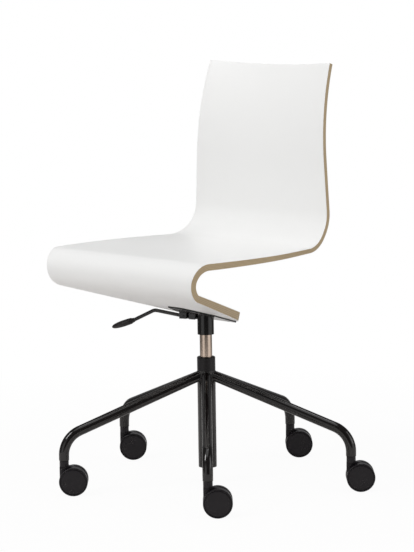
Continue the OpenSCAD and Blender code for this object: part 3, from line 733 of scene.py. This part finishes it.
# Caster housings, in millimetres and degrees
HOOD_R = 30.2
HOOD_LOW_R = 27.0
HOOD_GROWS_FROM, HOOD_GROWS_TO = -50.0, -25.0  # angles at the axle between the two radii
HOOD_HALF = 6.5
HOOD_EDGE = 0.9
HOOD_EDGE_STEPS = 3
HOOD_STEPS = 72
NECK_R = 10.0
NECK_EDGE = 0.7
NECK_LOW, NECK_TOP = 61.4, 75.7
NECK_SIDES = 64
NECK_STEPS = 9
WEB_TOUCH = 1.5  # the web meets the neck this far above the neck's lower end
WEB_INSET, WEB_LAP = 1.0, 3.0  # how far its edge lies inside the neck, and how far it reaches up in it
NECK_SECTION = [(0, NECK_LOW), (NECK_R - NECK_EDGE, NECK_LOW), (NECK_R, NECK_LOW + NECK_EDGE),
                (NECK_R, NECK_TOP - NECK_EDGE), (NECK_R - NECK_EDGE, NECK_TOP), (0, NECK_TOP)]


def hood_radius(angle):
    """Nearly flush with the wheels' treads above and behind, and further from the floor below."""
    share = (math.degrees(angle) - HOOD_GROWS_FROM) / (HOOD_GROWS_TO - HOOD_GROWS_FROM)
    share = min(max(share, 0), 1)
    return HOOD_LOW_R + (HOOD_R - HOOD_LOW_R) * share * share * (3 - 2 * share)


def hood_outline(trail, axle_z):
    """Side view of a housing in the caster's own frame: a disc between the wheels and a web to the neck.
    Below, the disc meets an arc about the stem at a reach from the stem and a drop below the axle."""
    reach = (trail ** 2 + NECK_R ** 2 - HOOD_LOW_R ** 2) / (2 * trail)
    drop = math.sqrt(NECK_R ** 2 - reach ** 2)
    start = math.atan2(-drop, reach - trail)
    top = Vector((NECK_R, NECK_LOW + WEB_TOUCH)) - Vector((trail, axle_z))
    end = math.atan2(top.y, top.x) - math.acos(HOOD_R / top.length)
    points = []
    for step in range(HOOD_STEPS + 1):
        a = start + (end - start) * step / HOOD_STEPS
        points.append((trail + hood_radius(a) * math.cos(a), axle_z + hood_radius(a) * math.sin(a)))
    points += [(NECK_R - WEB_INSET, NECK_LOW + WEB_LAP), (WEB_INSET - NECK_R, NECK_LOW + WEB_LAP),
               (-NECK_R, NECK_LOW)]
    low = math.atan2(-drop, reach)
    for step in range(NECK_STEPS):
        a = math.pi + (low + math.pi) * step / NECK_STEPS
        points.append((NECK_R * math.cos(a), axle_z + NECK_R * math.sin(a)))
    return points


def extruded(points, half):
    """A plate of the outline in the XZ plane, with its edges rounded."""
    mesh = bmesh.new()
    near = [mesh.verts.new((x, -half, z)) for x, z in points]
    far = [mesh.verts.new((x, half, z)) for x, z in points]
    mesh.faces.new(near)
    mesh.faces.new(reversed(far))
    edges = []
    for i in range(len(points)):
        n = (i + 1) % len(points)
        mesh.faces.new((near[n], near[i], far[i], far[n]))
        edges += [mesh.edges.get((near[i], near[n])), mesh.edges.get((far[i], far[n]))]
    face_outwards(mesh)
    bmesh.ops.bevel(mesh, geom=edges, offset=HOOD_EDGE, segments=HOOD_EDGE_STEPS, profile=0.5,
                    affect="EDGES", clamp_overlap=True)
    return mesh


def united(first, second):
    """The union of two closed meshes."""
    objects = []
    for mesh in (first, second):
        data = bpy.data.meshes.new("working")
        mesh.to_mesh(data)
        mesh.free()
        obj = bpy.data.objects.new("working", data)
        scene.collection.objects.link(obj)
        objects.append(obj)
    modifier = objects[0].modifiers.new("union", "BOOLEAN")
    modifier.operation = "UNION"
    modifier.solver = "EXACT"
    modifier.object = objects[1]
    result = bmesh.new()
    result.from_object(objects[0], bpy.context.evaluated_depsgraph_get())
    for obj in objects:
        data = obj.data
        bpy.data.objects.remove(obj)
        bpy.data.meshes.remove(data)
    return result


def caster_housing(k):
    """The housing between a caster's wheels with the round neck above it, in place of the plain one."""
    stem = Vector(JOINTS[f"caster_swivel_{k}"]["pos_m"])
    axle = Vector(JOINTS[f"wheel_spin_{k}_near"]["pos_m"])
    back = Vector((axle.x - stem.x, axle.y - stem.y, 0))
    points = hood_outline(back.length / MM, axle.z / MM)
    mesh = united(extruded(points, HOOD_HALF), turned(NECK_SECTION, NECK_SIDES))
    spin = Matrix.Rotation(math.atan2(back.y, back.x), 4, "Z")
    mesh.transform(Matrix.Translation((stem.x, stem.y, 0)) @ spin @ Matrix.Scale(MM, 4))
    obj = from_bmesh(f"hood_{k}", mesh, "caster_plastic")
    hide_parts(f"caster_housing_{k}")
    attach(obj, f"caster_{k}")


for k in range(1, LEG_COUNT + 1):
    caster_housing(k)

# Floor: white to the camera, but for the chair's soft shadow
FLOOR_R = 1.6
FLOOR_SIDES = 96
FLOOR_DARK, FLOOR_LIGHT = (231, 228, 226), (235, 232, 230)
SHADOW_NEAR, SHADOW_FAR = 0.6, 1.5
SHADOW_SHARE = 0.05


def seen_directly(g):
    """1 for rays from the camera and through glass, 0 for all others."""
    return g.math("MAXIMUM", g.add("LightPath", out="Is Camera Ray"),
                  g.add("LightPath", out="Is Transmission Ray"))


def add_floor():
    mesh = bmesh.new()
    bmesh.ops.create_circle(mesh, cap_ends=True, radius=FLOOR_R, segments=FLOOR_SIDES)
    data = bpy.data.meshes.new("floor")
    mesh.to_mesh(data)
    mesh.free()
    floor = bpy.data.objects.new("floor", data)
    scene.collection.objects.link(floor)
    material, g = new_material("floor")
    at = object_coords(g)
    shadow = g.remap(g.vector_math("LENGTH", at), (SHADOW_NEAR, SHADOW_FAR), (SHADOW_SHARE, 0.0))
    colour = g.mix(g.noise(at, scale=60.0), linear(FLOOR_DARK), linear(FLOOR_LIGHT))
    diffuse = g.add("BsdfDiffuse", Color=colour)
    glow = g.add("Emission", Color=grey(1.0), Strength=1.0)
    factor = g.math("MULTIPLY", g.math("SUBTRACT", 1.0, shadow), seen_directly(g))
    g.output("Material", g.add("MixShader", factor, diffuse, glow))
    data.materials.append(material)


# World: white to the camera, an even light on matt faces, and a plain studio in glossy ones
AMBIENT = 0.52
# The studio's brightness by azimuth, as a share of a turn: 0 lies behind the chair, 0.25 to the left of the
# photograph, 0.5 at the camera and 0.75 to the right
STUDIO = [(0.0, 0.3), (0.1, 0.3), (0.13, 0.14), (0.3, 0.14), (0.335, 0.75), (0.415, 0.75), (0.45, 0.1),
          (0.5, 0.08), (0.59, 0.1), (0.63, 0.85), (0.745, 0.85), (0.79, 0.14), (0.87, 0.14), (0.9, 0.3),
          (1.0, 0.3)]
CEILING_SHADE = 0.12
CEILING_EDGE = (0.3, 0.55)  # Z of the directions between which the walls turn into the ceiling
LAMP_AT = (-0.13, 0.13, 0.983)  # direction of a round lamp almost overhead
LAMP_GLOW = 5.0
LAMP_EDGE = (0.965, 0.98)  # cosines of the angles from its middle at which it starts and is full


def add_world():
    world = bpy.data.worlds.new("studio")
    scene.world = world
    world.use_nodes = True
    g = Graph(world.node_tree)
    direction = g.add("TexCoord", out="Generated")
    x, y, z = g.split(direction)
    to_right = g.math("ADD", x, y)
    to_front = g.math("SUBTRACT", x, y)
    azimuth = g.remap(g.math("ARCTAN2", to_right, to_front), (-math.pi, math.pi))
    walls = g.ramp(azimuth, [(place, grey(brightness)) for place, brightness in STUDIO])
    room = g.mix(g.remap(z, CEILING_EDGE), walls, grey(CEILING_SHADE))
    lamp = g.remap(g.vector_math("DOT_PRODUCT", direction, LAMP_AT), LAMP_EDGE)
    studio = g.mix(lamp, room, grey(LAMP_GLOW))
    ambient = g.add("Background", Color=grey(1.0), Strength=AMBIENT)
    glossy = g.add("Background", Color=studio, Strength=1.0)
    shown = g.add("Background", Color=grey(1.0), Strength=1.0)
    lit = g.add("MixShader", g.add("LightPath", out="Is Glossy Ray"), ambient, glossy)
    g.output("World", g.add("MixShader", seen_directly(g), lit, shown))


# Soft boxes: name, place and size in metres, watts
SOFT_BOXES = [
    ("overhead", (0.3, -0.6, 3.2), (2.4, 2.4), 19),
    ("left", (-0.9, -2.8, 2.9), (0.9, 1.5), 43),
    ("right", (3.0, 1.4, 1.7), (1.4, 2.2), 14),
]
MIDDLE = (0, 0, 0.45)


def add_light(name, place, size, watts):
    """A soft box at a place, aimed at the middle of the chair."""
    data = bpy.data.lights.new(name, "AREA")
    data.shape = "RECTANGLE"
    data.size, data.size_y = size
    data.energy = watts
    light = bpy.data.objects.new(name, data)
    aim = (Vector(MIDDLE) - Vector(place)).to_track_quat("-Z", "Y")
    light.matrix_world = Matrix.Translation(place) @ aim.to_matrix().to_4x4()
    scene.collection.objects.link(light)


add_floor()
add_world()
for soft_box in SOFT_BOXES:
    add_light(*soft_box)
